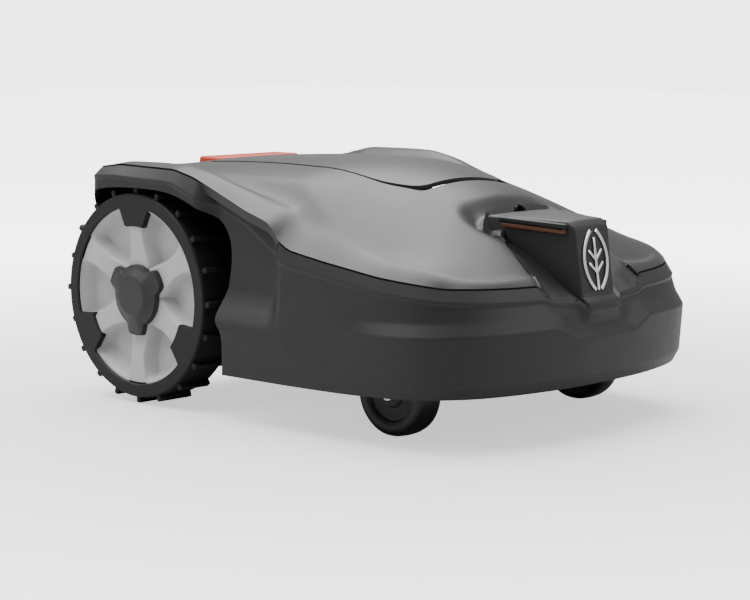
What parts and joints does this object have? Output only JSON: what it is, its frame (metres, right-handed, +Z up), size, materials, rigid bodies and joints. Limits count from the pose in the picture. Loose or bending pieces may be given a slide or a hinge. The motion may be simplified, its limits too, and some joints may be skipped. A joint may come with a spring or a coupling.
{
  "type": "robotic lawn mower",
  "caption": "Robotic lawn mower with a floating two-part hull, large driven rear wheels, swivel casters, a hatch and a cutting disc.",
  "frame": {"origin": "on the ground under the centre of the bounding box", "axes": "+Z up, -Y towards the nose, +X towards the side that is on the right when the nose is looked at"},
  "size_m": [0.414, 0.568, 0.252],
  "materials": {
    "cover_plastic": "fine satin grain",
    "body_plastic": "fine grain",
    "hatch_plastic": "satin",
    "stop_orange": "satin",
    "lamp_lens": "smoked clear",
    "lamp_amber": "amber",
    "badge_silver": "satin",
    "rim_plastic": "light grey moulded",
    "cap_plastic": "fine grain",
    "tyre_rubber": "matte",
    "caster_plastic": "satin",
    "chassis_plastic": "grained",
    "seal_rubber": "matte",
    "steel": "brushed",
    "copper": "polished",
    "board_green": "solder mask",
    "battery_wrap": "shrink wrap",
    "motor_metal": "zinc plated",
    "display_glass": "clear",
    "display_panel": "matt",
    "key_rubber": "soft touch",
    "bush_plastic": "acetal",
    "knob_plastic": "ribbed"
  },
  "bodies": {
    "chassis": {"chassis_base": "chassis_plastic", "chassis_lid": "chassis_plastic", "chassis_gasket": "seal_rubber", "battery_pack": "battery_wrap", "battery_cover": "chassis_plastic", "main_board": "board_green", "loop_sensor": "motor_metal", "charge_contacts": "copper", "drive_motor_left": "motor_metal", "drive_motor_right": "motor_metal", "caster_bushes": "bush_plastic", "guide_rods": "steel", "lid_screws": "steel", "console_housing": "chassis_plastic", "display_module": "display_panel", "display_window": "display_glass", "keypad_frame": "chassis_plastic"},
    "float_frame": {"float_frame": "chassis_plastic"},
    "float_crosshead": {"float_crosshead": "chassis_plastic"},
    "shell": {"top_cover": "cover_plastic", "body_shell": "body_plastic", "nose_cowl": "body_plastic", "lamp_lens_left": "lamp_lens", "lamp_lens_right": "lamp_lens", "lamp_strip_left": "lamp_amber", "lamp_strip_right": "lamp_amber", "nose_badge": "badge_silver", "hatch_hinge_pin": "steel"},
    "hatch": {"hatch": "hatch_plastic"},
    "stop_button": {"stop_button": "stop_orange"},
    "hatch_latch": {"hatch_latch": "hatch_plastic"},
    "height_knob": {"height_knob": "knob_plastic", "height_spindle": "steel"},
    "cut_carriage": {"motor_carriage": "chassis_plastic", "cut_motor": "motor_metal"},
    "blade_disc": {"blade_disc": "steel", "blade_screws": "steel"},
    "skid_plate": {"skid_plate": "chassis_plastic"},
    "key_power": {"key_power": "key_rubber"},
    "key_start": {"key_start": "key_rubber"},
    "key_home": {"key_home": "key_rubber"},
    "blade_1": {"blade_1": "steel"},
    "blade_2": {"blade_2": "steel"},
    "blade_3": {"blade_3": "steel"},
    "wheel_left": {"tyre_left": "tyre_rubber", "rim_left": "rim_plastic", "hub_cap_left": "cap_plastic", "wheel_hub_left": "steel"},
    "caster_left": {"caster_bracket_left": "caster_plastic", "caster_axle_left": "steel"},
    "caster_wheel_left": {"caster_rim_left": "caster_plastic", "caster_tyre_left": "tyre_rubber"},
    "wheel_right": {"tyre_right": "tyre_rubber", "rim_right": "rim_plastic", "hub_cap_right": "cap_plastic", "wheel_hub_right": "steel"},
    "caster_right": {"caster_bracket_right": "caster_plastic", "caster_axle_right": "steel"},
    "caster_wheel_right": {"caster_rim_right": "caster_plastic", "caster_tyre_right": "tyre_rubber"}
  },
  "joints": [
    {"name": "shell_fore_aft", "type": "slide", "parent": "chassis", "child": "float_frame", "axis": [0, 1, 0], "range_m": [-0.005, 0.005], "stiffness_N_per_m": 3000},
    {"name": "shell_sideways", "type": "slide", "parent": "float_frame", "child": "float_crosshead", "axis": [1, 0, 0], "range_m": [-0.003, 0.003], "stiffness_N_per_m": 3000},
    {"name": "shell_lift", "type": "slide", "parent": "float_crosshead", "child": "shell", "axis": [0, 0, 1], "range_m": [0, 0.006]},
    {"name": "hatch_hinge", "type": "hinge", "parent": "shell", "child": "hatch", "pos_m": [0, -0.088, 0.222], "axis": [1, 0, 0], "range_deg": [0, 75]},
    {"name": "stop_press", "type": "slide", "parent": "shell", "child": "stop_button", "axis": [0, 0, -1], "range_m": [0, 0.004], "stiffness_N_per_m": 1500},
    {"name": "latch_slide", "type": "slide", "parent": "shell", "child": "hatch_latch", "axis": [0, 1, 0], "range_m": [0, 0.003]},
    {"name": "wheel_left_spin", "type": "hinge", "parent": "chassis", "child": "wheel_left", "pos_m": [-0.1785, 0.172, 0.112], "axis": [1, 0, 0], "continuous": true},
    {"name": "caster_left_swivel", "type": "hinge", "parent": "chassis", "child": "caster_left", "pos_m": [-0.14, -0.153, 0.1], "axis": [0, 0, 1], "continuous": true},
    {"name": "caster_left_spin", "type": "hinge", "parent": "caster_left", "child": "caster_wheel_left", "pos_m": [-0.14, -0.143, 0.043], "axis": [1, 0, 0], "continuous": true},
    {"name": "wheel_right_spin", "type": "hinge", "parent": "chassis", "child": "wheel_right", "pos_m": [0.1785, 0.172, 0.112], "axis": [1, 0, 0], "continuous": true},
    {"name": "caster_right_swivel", "type": "hinge", "parent": "chassis", "child": "caster_right", "pos_m": [0.14, -0.153, 0.1], "axis": [0, 0, 1], "continuous": true},
    {"name": "caster_right_spin", "type": "hinge", "parent": "caster_right", "child": "caster_wheel_right", "pos_m": [0.14, -0.143, 0.043], "axis": [1, 0, 0], "continuous": true},
    {"name": "knob_turn", "type": "hinge", "parent": "chassis", "child": "height_knob", "pos_m": [0, 0.043, 0.2], "axis": [0, 0, 1], "range_deg": [-135, 135]},
    {"name": "carriage_slide", "type": "slide", "parent": "chassis", "child": "cut_carriage", "axis": [0, 0, 1], "range_m": [-0.015, 0.015]},
    {"name": "disc_spin", "type": "hinge", "parent": "cut_carriage", "child": "blade_disc", "pos_m": [0, 0.01, 0.04], "axis": [0, 0, 1], "continuous": true},
    {"name": "skid_spin", "type": "hinge", "parent": "blade_disc", "child": "skid_plate", "pos_m": [0, 0.01, 0.03], "axis": [0, 0, 1], "continuous": true},
    {"name": "blade_1_pivot", "type": "hinge", "parent": "blade_disc", "child": "blade_1", "pos_m": [0, 0.086, 0.037], "axis": [0, 0, 1], "continuous": true},
    {"name": "blade_2_pivot", "type": "hinge", "parent": "blade_disc", "child": "blade_2", "pos_m": [-0.06582, -0.028, 0.037], "axis": [0, 0, 1], "continuous": true},
    {"name": "blade_3_pivot", "type": "hinge", "parent": "blade_disc", "child": "blade_3", "pos_m": [0.06582, -0.028, 0.037], "axis": [0, 0, 1], "continuous": true},
    {"name": "key_power_press", "type": "slide", "parent": "chassis", "child": "key_power", "axis": [0, 0, -1], "range_m": [0, 0.001], "stiffness_N_per_m": 600},
    {"name": "key_start_press", "type": "slide", "parent": "chassis", "child": "key_start", "axis": [0, 0, -1], "range_m": [0, 0.001], "stiffness_N_per_m": 600},
    {"name": "key_home_press", "type": "slide", "parent": "chassis", "child": "key_home", "axis": [0, 0, -1], "range_m": [0, 0.001], "stiffness_N_per_m": 600}
  ],
  "couplings": [
    {"joint": "knob_turn", "follows": "carriage_slide", "rad_per_m": 157},
    {"joint": "latch_slide", "follows": "stop_press", "ratio": 0.75}
  ]
}
